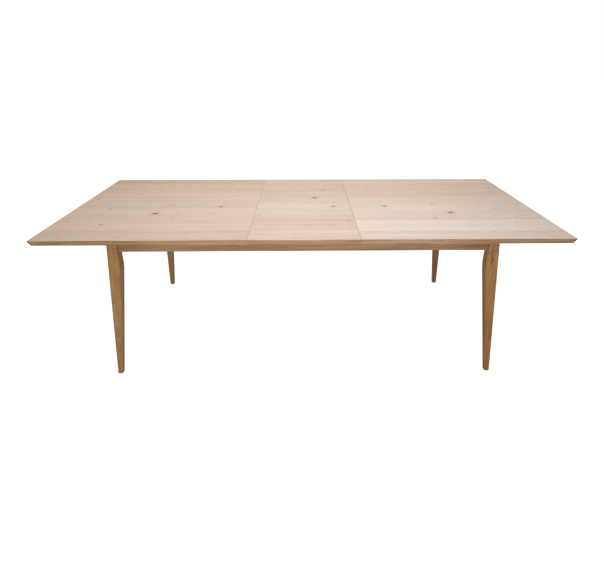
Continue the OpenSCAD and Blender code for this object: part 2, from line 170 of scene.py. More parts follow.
half_low, half_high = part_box("top_right")
seam_x, end_x = half_low.x, half_high.x
side_y, under_z, top_z = half_high.y, half_low.z, half_high.z


def is_level(a, b, z):
    return abs(a.z - z) < TINY and abs(b.z - z) < TINY


def is_seam(a, b, xs):
    return any(abs(a.x - x) < TINY and abs(b.x - x) < TINY for x in xs)


def shape_top(piece, seams):
    """The lip, the undercut and the softened edges; seams are the x of the square-cut sides."""
    cut_all_round((0, 0, top_z - LIP), (0, 0, 1))
    for side in (-1, 1):
        move_corners(lambda c: abs(c.z - under_z) < TINY and c.y * side > side_y - TINY,
                     (0, -side * UNDERCUT, 0))
    if len(seams) == 1:     # a half has one seam and one free end, and the leaf has two seams
        move_corners(lambda c: abs(c.z - under_z) < TINY and c.x > end_x - TINY, (-UNDERCUT, 0, 0))
    soften(lambda a, b: is_seam(a, b, seams), SEAM_ARRIS, 2)

    def outline(a, b):
        along = abs(a.y - b.y) < TINY and abs(a.y) > side_y - 2 * UNDERCUT
        end = abs(a.x - b.x) < TINY and a.x > end_x - 2 * UNDERCUT
        return along or end

    soften(lambda a, b: is_level(a, b, top_z) and outline(a, b), ARRIS, 3)
    soften(lambda a, b: is_level(a, b, top_z - LIP) and outline(a, b), ARRIS / 2, 2)
    soften(lambda a, b: is_level(a, b, under_z) and outline(a, b), ARRIS / 2, 2)


half_right = start_block("oak_half_right", half_low, half_high)
shape_top(half_right, [seam_x])
close_up(half_right)
half_left = mirrored(half_right, "oak_half_left", along_x=-1)

# %% [markdown]
# ## The leaf
# The leaf is a shorter panel of the same section, with a seam at both ends. It could be cut out
# of one long top with the halves, but each panel has to move by itself and shows its own
# rounded corners at the seams, so it is made as the halves were, from its own block.

# %% The leaf
leaf_low, leaf_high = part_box("leaf_panel")
leaf = start_block("oak_leaf", leaf_low, leaf_high)
shape_top(leaf, [leaf_low.x, leaf_high.x])
close_up(leaf)

# %% [markdown]
# ## The legs
# A leg leans out both ways. Its two inner sides stay upright and square to the aprons down to
# a knee, and below the knee they taper to a small foot. The four long corners are rounded, and
# the foot is rounder still. The leg could be lofted through three outlines, but a joiner saws it
# from a thick blank along two tapers, and that is what happens here: a block as wide as the
# leg's top is cut once at the knee, the rings of corners at the knee and at the foot move to
# their places, and the long edges are rounded from top to bottom.

# %% The blank of one leg
KNEE_Z = 0.575
SPLAY = 0.050           # how far the outer corner leans out between the top and the floor
FOOT = 0.028

leg_low, leg_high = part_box("leg_rear_right")
inner = Vector((leg_low.x, leg_low.y))


def outer_at(z):
    """The leg's outer corner at height z: from the floor to the top it leans in by SPLAY."""
    lean = SPLAY * z / under_z
    return leg_high.xy - Vector((lean, lean))


top_outer, knee_outer = outer_at(leg_high.z), outer_at(KNEE_Z)
leg = start_block("oak_leg_rear_right", leg_low, (*top_outer, leg_high.z))
cut_all_round((0, 0, KNEE_Z), (0, 0, 1))
foot_outer = leg_high.xy
foot_inner = foot_outer - Vector((FOOT, FOOT))
rings = {KNEE_Z: (inner, knee_outer), leg_low.z: (foot_inner, foot_outer)}
for axis in (0, 1):
    halfway = (inner[axis] + top_outer[axis]) / 2
    for z, (ring_in, ring_out) in rings.items():
        for far, step in ((True, ring_out[axis] - top_outer[axis]),
                          (False, ring_in[axis] - inner[axis])):
            by = [0, 0, 0]
            by[axis] = step
            move_corners(lambda c: abs(c.z - z) < TINY and (c[axis] > halfway) == far, by)
    print("along", "xy"[axis], "the foot lies from", round(foot_inner[axis], 4), "to",
          round(foot_outer[axis], 4))

# %% Its rounded corners and foot
LEG_ROUND = 0.008
FOOT_ARRIS = 0.002
LEG_TOP_ARRIS = 0.001
KNEE_BEND = 0.020       # the knee is eased over this far each way
NEAR_KNEE = 0.003
LONG_EDGE = 0.1         # only the four long corners are longer than this

soften(lambda a, b: abs(a.z - b.z) > LONG_EDGE, LEG_ROUND, 6)
foot_middle = (foot_inner + foot_outer) / 2
pick_corners(lambda c: abs(c.z - leg_low.z) < TINY)
bpy.ops.transform.tosphere(value=1.0)
ring = [corner.co.xy - foot_middle
        for corner in bmesh.from_edit_mesh(leg.data).verts if corner.select]
to_width = FOOT / 2 / max(abs(side.x) for side in ring)
bpy.ops.transform.resize(value=(to_width, to_width, 1),
                         center_override=(*foot_middle, leg_low.z))
soften(lambda a, b: is_level(a, b, leg_low.z), FOOT_ARRIS, 3)
soften(lambda a, b: is_level(a, b, leg_high.z), LEG_TOP_ARRIS, 2)
soften(lambda a, b: max(abs(a.z - KNEE_Z), abs(b.z - KNEE_Z)) < NEAR_KNEE, KNEE_BEND, 4)
close_up(leg, smooth_angle=50)

# %% Four legs from one
legs = {
    "leg_rear_right": leg,
    "leg_rear_left": mirrored(leg, "oak_leg_rear_left", along_x=-1),
    "leg_front_right": mirrored(leg, "oak_leg_front_right", along_y=-1),
    "leg_front_left": mirrored(leg, "oak_leg_front_left", along_x=-1, along_y=-1),
}

# %% [markdown]
# ## The aprons
# Four rails on edge join the legs under the top. They are plain boards, and their lower edge is
# the one that knees and hands meet, so it is rounded more than the upper one. A Bevel modifier
# would round all twelve edges alike, so the long edges are picked by height instead. Opposite
# aprons are the same, and the second of each pair is a mirrored copy.

# %% Front, rear and end aprons
KNEE_SIDE_ARRIS = 0.0025
HIDDEN_ARRIS = 0.001

aprons = {}
for first, second, turn in (("apron_rear", "apron_front", {"along_y": -1}),
                            ("apron_right", "apron_left", {"along_x": -1})):
    low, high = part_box(first)
    board = start_block("oak_" + first, low, high)
    across = 1 if high.x - low.x > high.y - low.y else 0
    for z, radius, steps in ((low.z, KNEE_SIDE_ARRIS, 4), (high.z, HIDDEN_ARRIS, 2)):
        soften(lambda a, b: is_level(a, b, z) and abs(a[across] - b[across]) < TINY,
               radius, steps)
    aprons[first] = close_up(board)
    aprons[second] = mirrored(board, "oak_" + second, **turn)

# %% [markdown]
# ## Building materials from nodes
# A material is a small chain of nodes. It could be wired by hand in the shader editor, and these
# helpers do the same clicks: they start a material, add a node with its options and inputs, do a
# sum, fade between two places, mix two colours or sample a noise. Effects that several finishes
# share are made once as node groups, with named inputs and outputs.

# %% Helpers for nodes
SOCKETS = {"number": "NodeSocketFloat", "vector": "NodeSocketVector"}


def put(tree, kind, inputs=None, **options):
    """Adds a node; an input is a value or another node's output."""
    node = tree.nodes.new(kind if kind.startswith("Node") else "ShaderNode" + kind)
    node.location = (len(tree.nodes) % 12 * 190, -(len(tree.nodes) // 12) * 260)
    for option, value in options.items():
        setattr(node, option, value)
    for socket, value in (inputs or {}).items():
        if isinstance(value, bpy.types.NodeSocket):
            tree.links.new(value, node.inputs[socket])
        else:
            node.inputs[socket].default_value = value
    return node


def start_material(name):
    """An empty material and its tree of nodes."""
    material = bpy.data.materials.new(name)
    material.use_nodes = True
    material.node_tree.nodes.clear()
    return material, material.node_tree


def surface(tree, colour, rough, height, strength, depth, **steady):
    """Ends a finish; steady holds what is the same all over, with underscores for spaces."""
    bump = put(tree, "Bump", {"Height": height, "Strength": strength, "Distance": depth})
    alike = {label.replace("_", " "): value for label, value in steady.items()}
    shader = put(tree, "BsdfPrincipled", {"Base Color": colour, "Roughness": rough,
                                          "Normal": bump.outputs[0], **alike})
    put(tree, "OutputMaterial", {"Surface": shader.outputs[0]})


def sum_of(tree, operation, *values, clamp=False):
    return put(tree, "Math", dict(enumerate(values)), operation=operation,
               use_clamp=clamp).outputs[0]


def vector_sum(tree, operation, *values):
    return put(tree, "VectorMath", dict(enumerate(values)), operation=operation).outputs[0]


def fade(tree, value, start, end, low=0.0, high=1.0):
    """Low before start, high after end, and a smooth slope between them."""
    return put(tree, "MapRange", {"Value": value, "From Min": start, "From Max": end,
                                  "To Min": low, "To Max": high},
               interpolation_type="SMOOTHSTEP").outputs["Result"]


def mix(tree, share, first, second, how="MIX"):
    node = put(tree, "Mix", data_type="RGBA", blend_type=how, clamp_result=False)
    for index, value in ((0, share), (6, first), (7, second)):
        if isinstance(value, bpy.types.NodeSocket):
            tree.links.new(value, node.inputs[index])
        elif index:
            node.inputs[index].default_value = (*value, 1)
        else:
            node.inputs[index].default_value = value
    return node.outputs[2]


def noise(tree, vector, stretch, detail=2.0):
    """Soft noise between 0 and 1 with so many waves per metre each way."""
    place = vector_sum(tree, "MULTIPLY", vector, stretch)
    return put(tree, "TexNoise", {"Vector": place, "Scale": 1.0, "Detail": detail}).outputs["Fac"]


def start_group(name, inputs, outputs):
    """A node group with named sockets; inputs are name: (kind, usual value)."""
    group = bpy.data.node_groups.new(name, "ShaderNodeTree")
    for label, (kind, usual) in inputs.items():
        socket = group.interface.new_socket(name=label, in_out="INPUT", socket_type=SOCKETS[kind])
        socket.default_value = usual
    for label in outputs:
        group.interface.new_socket(name=label, in_out="OUTPUT", socket_type=SOCKETS["number"])
    start = group.nodes.new("NodeGroupInput")
    end = group.nodes.new("NodeGroupOutput")
    return group, start.outputs, end.inputs


def use(tree, group, **inputs):
    """Places a group in a material; spaces in a socket's name are written as underscores."""
    node = put(tree, "Group", node_tree=group)
    for label, value in inputs.items():
        socket = node.inputs[label.replace("_", " ")]
        if isinstance(value, bpy.types.NodeSocket):
            tree.links.new(value, socket)
        else:
            socket.default_value = value
    return node.outputs


# %% [markdown]
# ## Timber from the inside out
# Wood is a solid, so its pattern has to agree on the top, the edge and the end of a board. A
# stretched wave on each face would be quicker, but it breaks at every corner. The pattern is
# therefore made in space: each board is cut beside the middle of a tree, the growth rings are
# cylinders round that middle, and the board's faces show what they cut through. A slight tilt
# makes the pointed arches of flat-sawn oak. Every board takes its own tree from a random number
# that belongs to its place.

# %% The growth rings group
def make_rings():
    group, given, out = start_group("growth rings", {
        "Vector": ("vector", (0, 0, 0)), "Board": ("number", 0), "Across": ("number", 0),
        "Shift": ("number", 0), "Ring width": ("number", 0.0034), "Tilt": ("number", 0.07),
        "Streak": ("vector", (1.3, 85, 85))},
        ["Ring", "Fibre", "Pores", "Streak", "Cloud", "Warmth", "Height"])
    chance = put(group, "TexWhiteNoise", {"W": given["Board"]}, noise_dimensions="1D")
    tree_at = put(group, "SeparateColor", {0: chance.outputs["Color"]}).outputs
    far_apart = vector_sum(group, "MULTIPLY", chance.outputs["Color"], (37, 41, 43))
    place = vector_sum(group, "ADD", given["Vector"], far_apart)
    xyz = put(group, "SeparateXYZ", {0: given["Vector"]}).outputs
    bend = sum_of(group, "MULTIPLY_ADD", noise(group, place, (1.1, 6, 6)), 0.03, -0.015)
    ripple = sum_of(group, "MULTIPLY_ADD", noise(group, place, (5, 45, 45), 3), 0.0024, -0.0012)
    beside = sum_of(group, "ADD", given["Across"], given["Shift"])
    beside = sum_of(group, "ADD", beside,
                    sum_of(group, "MULTIPLY_ADD", tree_at[0], 0.10, -0.105))
    beside = sum_of(group, "ADD", beside, bend)
    above = sum_of(group, "ADD", xyz[2], sum_of(group, "MULTIPLY_ADD", tree_at[1], 0.05, 0.012))
    tilt = sum_of(group, "MULTIPLY", sum_of(group, "SUBTRACT", tree_at[2], 0.5), given["Tilt"])
    above = sum_of(group, "ADD", above, sum_of(group, "MULTIPLY", xyz[0], tilt))
    above = sum_of(group, "ADD", above, sum_of(group, "MULTIPLY", bend, 0.8))
    square = sum_of(group, "ADD", sum_of(group, "MULTIPLY", beside, beside),
                    sum_of(group, "MULTIPLY", above, above))
    radius = sum_of(group, "ADD", sum_of(group, "SQRT", square), ripple)
    year = sum_of(group, "FRACT", sum_of(group, "DIVIDE", radius, given["Ring width"]))
    spring = put(group, "ValToRGB", {0: year})
    stops = spring.color_ramp.elements
    stops[0].position, stops[1].position = 0.0, 1.0
    stops[0].color = stops[1].color = (1, 1, 1, 1)
    for position, level in ((0.3, 0.45), (0.55, 0.12), (0.9, 0.05)):
        stops.new(position).color = (level, level, level, 1)
    ring = spring.outputs["Color"]
    fibre = noise(group, place, (3, 260, 260), 3)
    speck = fade(group, noise(group, place, (26, 1300, 1300), 1), 0.56, 0.68)
    pores = sum_of(group, "MULTIPLY", speck, sum_of(group, "MULTIPLY_ADD", ring, 0.75, 0.25))
    results = {
        "Ring": ring, "Fibre": fibre, "Pores": pores,
        "Streak": fade(group, noise(group, place, given["Streak"], 3), 0.38, 0.64),
        "Warmth": fade(group, noise(group, place, (4, 22, 22), 2), 0.35, 0.65),
        "Cloud": fade(group, noise(group, place, (1.6, 14, 14), 3), 0.35, 0.68),
        "Height": sum_of(group, "MULTIPLY_ADD", pores, -1.0,
                         sum_of(group, "MULTIPLY", fibre, 0.35))}
    for label, result in results.items():
        group.links.new(result, out[label])
    return group


growth_rings = make_rings()
print("growth rings:", len(growth_rings.nodes), "nodes")

# %% [markdown]
# ## Boards side by side
# A wide panel is glued up from boards, and each board has its own number, tone and tree. The
# boards could be separate objects, but the real panel is one flat sanded piece. So the group
# below counts how many glue joints lie in front of a point: that count is the board's number.
# It also says how far across its board the point is, and marks the joints themselves.

# %% The board layout group
JOINTS = 9
FAR_JOINT = 9.0         # a joint that isn't there


def make_boards():
    inputs = {"Vector": ("vector", (0, 0, 0)), "First edge": ("number", -0.5),
              "Joint width": ("number", 0.0008)}
    for number in range(JOINTS):
        inputs[f"Joint {number + 1}"] = ("number", FAR_JOINT)
    group, given, out = start_group("board layout", inputs, ["Board", "Across", "Joint"])
    across = put(group, "SeparateXYZ", {0: given["Vector"]}).outputs[1]
    board, nearest = 0.0, FAR_JOINT
    edge_before = board_edge = given["First edge"]
    for number in range(JOINTS):
        joint = given[f"Joint {number + 1}"]
        past = sum_of(group, "GREATER_THAN", across, joint)
        board = sum_of(group, "ADD", past, board)
        wide = sum_of(group, "SUBTRACT", joint, edge_before)
        board_edge = sum_of(group, "MULTIPLY_ADD", past, wide, board_edge)
        away = sum_of(group, "ABSOLUTE", sum_of(group, "SUBTRACT", across, joint))
        nearest = sum_of(group, "MINIMUM", away, nearest)
        edge_before = joint
    group.links.new(board, out["Board"])
    group.links.new(sum_of(group, "SUBTRACT", across, board_edge), out["Across"])
    share = sum_of(group, "DIVIDE", nearest, given["Joint width"])
    group.links.new(fade(group, share, 0.3, 1.0, 1.0, 0.0), out["Joint"])
    return group


board_layout = make_boards()
print("board layout:", len(board_layout.nodes), "nodes")

# %% [markdown]
# ## Knots
# A knot is where a branch was. The grain parts round it as water does round a stone, the wood
# beside it is darker, and its heart is nearly black. A Voronoi texture would scatter knots by
# chance, but here each has its own place. One group draws one knot and passes on what the knots
# before it drew, so a chain of these nodes makes a panel's knots.

# %% The knot group
def make_knot():
    group, given, out = start_group("knot", {
        "Vector": ("vector", (0, 0, 0)), "Centre": ("vector", (0, 0, 0)), "Size": ("number", 0.006),
        "Strength": ("number", 1), "Stretch": ("number", 1.4), "Hearts": ("number", 0),
        "Halos": ("number", 0), "Shift": ("number", 0)},
        ["Hearts", "Halos", "Shift"])
    away = put(group, "SeparateXYZ", {0: vector_sum(group, "SUBTRACT", given["Vector"],
                                                   given["Centre"])}).outputs
    long_way = sum_of(group, "DIVIDE", away[0], given["Stretch"])
    square = sum_of(group, "ADD", sum_of(group, "MULTIPLY", long_way, long_way),
                    sum_of(group, "MULTIPLY", away[1], away[1]))
    sizes = sum_of(group, "DIVIDE", sum_of(group, "SQRT", square), given["Size"])
    heart = sum_of(group, "MULTIPLY", fade(group, sizes, 0.55, 1.15, 1.0, 0.0), given["Strength"])
    halo = sum_of(group, "MULTIPLY", fade(group, sizes, 0.6, 3.6, 1.0, 0.0), given["Strength"])
    parting = sum_of(group, "DIVIDE", -0.85, sum_of(group, "MULTIPLY_ADD", sizes,
                                                    sum_of(group, "MULTIPLY", sizes, 0.16), 1.0))
    group.links.new(sum_of(group, "MAXIMUM", heart, given["Hearts"]), out["Hearts"])
    group.links.new(sum_of(group, "MAXIMUM", halo, given["Halos"]), out["Halos"])
    group.links.new(sum_of(group, "MULTIPLY_ADD", away[1], parting, given["Shift"]), out["Shift"])
    return group


knot = make_knot()
print("knot:", len(knot.nodes), "nodes")

# %% [markdown]
# ## Edges and ends
# Sanding leaves a rounded edge a little paler and smoother, and the sawn ends of a board drink
# more oil and turn darker. Both are found from the way a surface faces: a rounded edge faces
# between two sides, and an end faces along the grain.

# %% The rubbed edge and end grain groups
def make_rubbed_edge():
    group, given, out = start_group("rubbed edge", {"Normal": ("vector", (0, 0, 1))}, ["Edge"])
    facing = put(group, "SeparateXYZ", {0: vector_sum(group, "ABSOLUTE", given["Normal"])}).outputs
    most = sum_of(group, "MAXIMUM", facing[0], sum_of(group, "MAXIMUM", facing[1], facing[2]))
    group.links.new(fade(group, most, 0.70, 0.84, 1.0, 0.0), out["Edge"])
    return group


def make_end_grain():
    group, given, out = start_group("end grain", {
        "Normal": ("vector", (0, 0, 1)), "Along": ("vector", (1, 0, 0))}, ["End"])
    along = put(group, "VectorMath", {0: given["Normal"], 1: given["Along"]},
                operation="DOT_PRODUCT").outputs["Value"]
    group.links.new(fade(group, sum_of(group, "ABSOLUTE", along), 0.6, 0.85), out["End"])
    return group


rubbed_edge = make_rubbed_edge()
end_grain = make_end_grain()
print("edges and ends:", len(rubbed_edge.nodes) + len(end_grain.nodes), "nodes")

# %% [markdown]
# ## Oak, layer by layer
# The finish is built up as the eye reads the timber. First come the grain and the tone of each
# board, then the oiled face and the browner sides with their painted shade, then pores, ends,
# joints and the painted shade in the seams, and last the knots and the rubbed edges. One long
# chain of nodes could do all of it at once, but each layer is a step of its own here, so one that
# a piece has no use for can be left out.

# %% Where a point lies in its timber
UPRIGHT = Matrix(((0, 1, 0), (0, 0, 1), (1, 0, 0)))     # the grain up, the figure to the front
TURNS = {"X": (0, 0, 0), "Y": (0, 0, math.radians(90)), "Z": UPRIGHT.to_euler()}
AXES = {"X": (1, 0, 0), "Y": (0, 1, 0), "Z": (0, 0, 1)}


def in_timber(tree, place, centre, grain):
    """Turned so that X runs along the grain, Y across the board and Z up through it."""
    return put(tree, "Mapping", {"Vector": place, "Location": centre, "Rotation": TURNS[grain]},
               vector_type="TEXTURE").outputs[0]


def scaled(colour, share):
    return [channel * share for channel in colour]


# %% The knots' layer
KNOT_HALO = (0.36, 0.18, 0.09)
KNOT_HEART = (0.075, 0.030, 0.015)


def chain_knots(tree, timber, knots):
    """Hearts, halos and how far the grain is pushed aside; a wobble breaks the round outlines."""
    wobble = put(tree, "TexNoise", {"Vector": timber, "Scale": 70, "Detail": 2}).outputs["Color"]
    wobble = vector_sum(tree, "MULTIPLY_ADD", wobble, (0.008, 0.006, 0.006), timber)
    wobble = vector_sum(tree, "SUBTRACT", wobble, (0.004, 0.003, 0.003))
    hearts = halos = shift = 0.0
    for x, y, size, strength, stretch in knots:
        drawn = use(tree, knot, Vector=wobble, Centre=(x, y, 0), Size=size, Strength=strength,
                    Stretch=stretch, Hearts=hearts, Halos=halos, Shift=shift)
        hearts, halos, shift = drawn["Hearts"], drawn["Halos"], drawn["Shift"]
    return hearts, halos, shift


# %% The boards' tones
def board_tones(tree, board, tones):
    """A stepped ramp: one colour for each board number, and its liveliness in the alpha."""
    shade = put(tree, "ValToRGB", {0: sum_of(tree, "DIVIDE", board, JOINTS + 1)})
    shade.color_ramp.interpolation = "CONSTANT"
    stops = shade.color_ramp.elements
    stops.remove(stops[1])
    stops[0].position, stops[0].color = 0.0, tones[0]
    for number, tone in enumerate(tones[1:], 1):
        stops.new((number - 0.5) / (JOINTS + 1)).color = tone
    return shade.outputs


def grain_of(tree, wood, shares, liveliness):
    """How dark the grain is at a point."""
    rings, fibres, streaks, clouds = shares
    dark = sum_of(tree, "MULTIPLY", wood["Ring"], rings)
    dark = sum_of(tree, "MULTIPLY_ADD", fade(tree, wood["Fibre"], 0.3, 0.75), fibres, dark)
    dark = sum_of(tree, "MULTIPLY_ADD", wood["Streak"], streaks, dark)
    dark = sum_of(tree, "MULTIPLY", dark, liveliness)
    return sum_of(tree, "MULTIPLY_ADD", wood["Cloud"], clouds, dark, clamp=True)


# %% The sides with painted shade, darkening along the grain and painted seam shade
SIDE_BROWN_AND_SHADE_DEPTH = (-0.0016, -0.0004)      # below the face the wood turns browner and takes painted shade
SEAM_SHADE_WIDTH = (0.0007, 0.0017)        # painted shade darkens a seam this far on each side of it
LIPPING_BLUR = 0.0008


def darkened_along(tree, colour, along, darkening_along):
    """Darker towards a tint from one place along the grain to another: painted shade towards the
    ends on the top's sides and the aprons, and darker feet on two legs.
    """
    start, end, tint = darkening_along
    return mix(tree, fade(tree, sum_of(tree, "ABSOLUTE", along), start, end), colour, tint,
               "MULTIPLY")


def with_brown_and_shaded_sides(tree, colour, dark, timber, level, sides, darkening_along):
    """Browner wood with painted shade below the face, darker still towards the ends with painted
    shade, with arches of figure and dark lippings at the ends.
    """
    below = fade(tree, level[2], *SIDE_BROWN_AND_SHADE_DEPTH, 1.0, 0.0)
    brown_and_shade = mix(tree, sum_of(tree, "MULTIPLY", dark, 1.1, clamp=True), *sides)
    arches = fade(tree, noise(tree, timber, (6, 30, 110), 2), 0.46, 0.60, 0.0, 0.75)
    brown_and_shade = darkened_along(tree, mix(tree, arches, brown_and_shade, sides[1]), level[0], darkening_along)
    colour = mix(tree, below, colour, brown_and_shade)
    lipping = fade(tree, sum_of(tree, "ABSOLUTE", level[0]), end_x - UNDERCUT - LIPPING_BLUR,
                   end_x - UNDERCUT)
    return mix(tree, sum_of(tree, "MULTIPLY", below, lipping), colour, scaled(sides[1], 0.4))


def with_seam_shade(tree, colour, deep, along, seams):
    # each seam gets a strip of painted shade
    for seam, strength in seams:
        away = sum_of(tree, "ABSOLUTE", sum_of(tree, "SUBTRACT", along, seam))
        colour = mix(tree, fade(tree, away, *SEAM_SHADE_WIDTH, strength, 0.0), colour, scaled(deep, 0.35))
    return colour


# %% [markdown]
# ## The finish for oak
# One function stacks the layers, and each piece gives it its own colours, joints and knots. The
# wood is only oiled, so it stays matt: the gloss is low and even, and a fine bump from the open
# pores breaks it up.

# %% A finish for oak
COOL_WOOD, WARM_WOOD = (0.985, 1.0, 1.03), (1.015, 0.995, 0.955)
PORE_DEPTH = 0.00025


def oak(name, pale, deep, centre, grain="X", first_edge=-0.5, joints=(), tones=((1, 1, 1, 1),),
        knots=(), sides=None, seams=(), darkening_along=None, shares=(0.30, 0.16, 0.22, 0.20),
        ring_width=0.0034, tilt=0.07, streak=(1.3, 85, 85), seed=0.0, rough=0.52):
    """pale and deep are the colours of summer and spring wood. Each of the tones tints one board,
    and its last number says how lively the board's figure is. The shares are how much the rings,
    fibres, streaks and clouds each count. sides are the two colours below an oiled face, browner
    wood with painted shade, and seams are places along the grain and how much painted shade
    darkens them. The darkening along the grain is where a darker tint starts, where it is full,
    and the tint; on the top's sides and the aprons it is painted shade towards the ends."""
    material, tree = start_material(name)
    here = put(tree, "TexCoord").outputs
    timber = in_timber(tree, here["Object"], centre, grain)
    rows = {f"Joint_{number + 1}": y for number, y in enumerate(joints)}
    boards = use(tree, board_layout, Vector=timber, First_edge=first_edge, **rows)
    hearts, halos, shift = chain_knots(tree, timber, knots)
    wood = use(tree, growth_rings, Vector=timber, Board=sum_of(tree, "ADD", boards["Board"], seed),
               Across=boards["Across"], Shift=shift, Ring_width=ring_width, Tilt=tilt,
               Streak=streak)
    shade = board_tones(tree, boards["Board"], tones)
    dark = grain_of(tree, wood, shares, shade["Alpha"])
    colour = mix(tree, dark, pale, deep)
    warmth = mix(tree, wood["Warmth"], COOL_WOOD, WARM_WOOD)
    colour = mix(tree, 1.0, colour, warmth, "MULTIPLY")
    colour = mix(tree, 1.0, colour, shade["Color"], "MULTIPLY")
    level = put(tree, "SeparateXYZ", {0: timber}).outputs
    if sides:
        colour = with_brown_and_shaded_sides(tree, colour, dark, timber, level, sides, darkening_along)
    elif darkening_along:
        colour = darkened_along(tree, colour, level[0], darkening_along)
    ends = use(tree, end_grain, Normal=here["Normal"], Along=AXES[grain])["End"]
    end_colour = sides[1] if sides else scaled(deep, 0.62)
    colour = mix(tree, sum_of(tree, "MULTIPLY", wood["Pores"], 0.55), colour, scaled(deep, 0.45))
    colour = mix(tree, sum_of(tree, "MULTIPLY", ends, 0.55), colour, end_colour)
    if joints:
        colour = mix(tree, sum_of(tree, "MULTIPLY", boards["Joint"], 0.35), colour,
                     scaled(deep, 0.4))
    colour = with_seam_shade(tree, colour, deep, level[0], seams)
    if knots:
        colour = mix(tree, sum_of(tree, "MULTIPLY", halos, 0.45), colour, KNOT_HALO)
        colour = mix(tree, hearts, colour, KNOT_HEART)
    edge = use(tree, rubbed_edge, Normal=here["Normal"])["Edge"]
    colour = mix(tree, sum_of(tree, "MULTIPLY", edge, 0.25), colour, pale)
    satin = sum_of(tree, "MULTIPLY_ADD", wood["Pores"], 0.2, rough)
    satin = sum_of(tree, "MULTIPLY_ADD", edge, -0.08, satin)
    surface(tree, colour, satin, wood["Height"], 0.35, PORE_DEPTH, Specular_IOR_Level=0.35)
    return material


# %% [markdown]
# ## The top's own boards
# The boards of each panel are listed from the front edge to the rear one, as a joiner lays them
# out before gluing. A random layout would be shorter, but the eye knows a table by its knots.
# The two halves were sawn from the same stack, so their knots nearly mirror each other across
# the leaf. A knot is its x and y, its size, its strength and how long it is for its width. The
# edges are browner than the face and carry painted shade, and painted shade makes them darker
# still towards the ends of the table.

# %% Colours of the top
TOP_PALE = (0.80, 0.655, 0.54)
TOP_DEEP = (0.60, 0.45, 0.33)
# the sides: browner wood with painted shade in it
SIDE_PALE_BROWN_AND_SHADE = (0.82, 0.51, 0.31)
SIDE_DEEP_BROWN_AND_SHADE = (0.40, 0.22, 0.115)
# painted shade darkening the top's sides towards the ends of the table
EDGE_END_SHADE = (0.44, 0.88, (0.70, 0.68, 0.56))
SEAM_SHADE_STRENGTHS = (0.14, 0.42)       # how dark the painted shade is in the left seam and the right one

# %% Knots of the top
left_knots = (
    (-0.756, -0.154, 0.0080, 1.0, 1.5), (-0.700, -0.020, 0.0042, 0.9, 1.3),
    (-0.438, -0.050, 0.0058, 1.0, 1.3), (-0.432, 0.020, 0.0034, 0.6, 1.2),
    (-1.016, -0.080, 0.0040, 0.8, 1.6), (-1.156, 0.096, 0.0052, 0.8, 1.3),
    (-0.964, -0.308, 0.0046, 0.7, 1.5), (-0.650, -0.230, 0.0034, 0.4, 1.3),
    (-0.710, 0.304, 0.0040, 0.4, 1.5), (-0.394, 0.240, 0.0038, 0.45, 1.4),
    (-0.960, 0.180, 0.0030, 0.45, 5.0),
)
leaf_knots = (
    (0.062, 0.104, 0.0078, 1.0, 1.3), (0.118, 0.254, 0.0060, 1.0, 1.3),
    (0.160, -0.050, 0.0060, 1.0, 1.3), (0.170, 0.020, 0.0036, 0.6, 1.3),
    (-0.210, 0.180, 0.0030, 0.4, 1.4), (0.216, -0.260, 0.0030, 0.45, 3.0),
    (-0.230, -0.180, 0.0026, 0.4, 5.0),
)
right_knots = (
    (0.434, -0.050, 0.0060, 1.0, 1.3), (0.424, 0.030, 0.0034, 0.6, 1.2),
    (0.696, -0.020, 0.0044, 0.7, 1.3), (0.754, -0.156, 0.0076, 0.95, 1.6),
    (0.648, -0.240, 0.0044, 0.55, 1.3), (1.010, -0.100, 0.0036, 0.4, 1.5),
    (0.380, 0.240, 0.0036, 0.4, 1.4), (0.710, 0.304, 0.0036, 0.4, 1.5),
    (1.020, -0.300, 0.0034, 0.4, 1.5),
)
print("knots:", [len(knots) for knots in (left_knots, leaf_knots, right_knots)])

# %% Boards of the top
panels = {
    "oak_half_left": dict(
        joints=(-0.380, -0.265, -0.170, -0.065, 0.070, 0.190, 0.300, 0.395), knots=left_knots,
        tones=((0.93, 0.88, 0.86, 1.4), (0.99, 0.94, 0.95, 1.1), (0.95, 0.92, 0.91, 0.8),
               (0.98, 0.96, 0.94, 1.0), (0.95, 0.91, 0.90, 0.9), (1.05, 0.98, 0.96, 1.0),
               (1.02, 0.97, 0.92, 1.2), (1.04, 0.96, 0.88, 0.9), (1.01, 0.91, 0.82, 1.1)),
        seed=3.0),
    "oak_leaf": dict(
        joints=(-0.390, -0.190, -0.090, 0.0, 0.130, 0.260, 0.380), knots=leaf_knots,
        tones=((1.03, 1.02, 1.04, 1.5), (0.98, 0.94, 0.96, 1.3), (0.98, 0.97, 1.01, 0.8),
               (0.98, 1.00, 1.04, 0.7), (0.97, 0.96, 0.97, 0.8), (0.98, 0.96, 0.95, 1.0),
               (1.03, 0.99, 0.94, 1.0), (1.09, 1.05, 1.06, 1.2)),
        seed=21.0),
    "oak_half_right": dict(
        joints=(-0.400, -0.260, -0.170, -0.040, 0.120, 0.210, 0.300, 0.400), knots=right_knots,
        tones=((1.01, 1.04, 1.13, 1.5), (1.02, 1.06, 1.17, 0.7), (0.99, 1.00, 1.07, 1.0),
               (1.00, 1.02, 1.09, 0.8), (1.01, 1.00, 1.03, 0.9), (0.98, 0.95, 0.95, 1.1),
               (1.02, 0.98, 0.95, 0.9), (1.06, 1.00, 0.97, 1.0), (1.12, 1.10, 1.12, 1.1)),
        seed=46.0),
}
for piece in (half_left, leaf, half_right):
    piece.data.materials.append(oak(piece.name + "_finish", TOP_PALE, TOP_DEEP, (0, 0, top_z),
                                    sides=(SIDE_PALE_BROWN_AND_SHADE, SIDE_DEEP_BROWN_AND_SHADE), darkening_along=EDGE_END_SHADE,
                                    seams=tuple(zip((-seam_x, seam_x), SEAM_SHADE_STRENGTHS)),
                                    **panels[piece.name]))
    print(piece.name, "has", len(panels[piece.name]["tones"]), "boards")

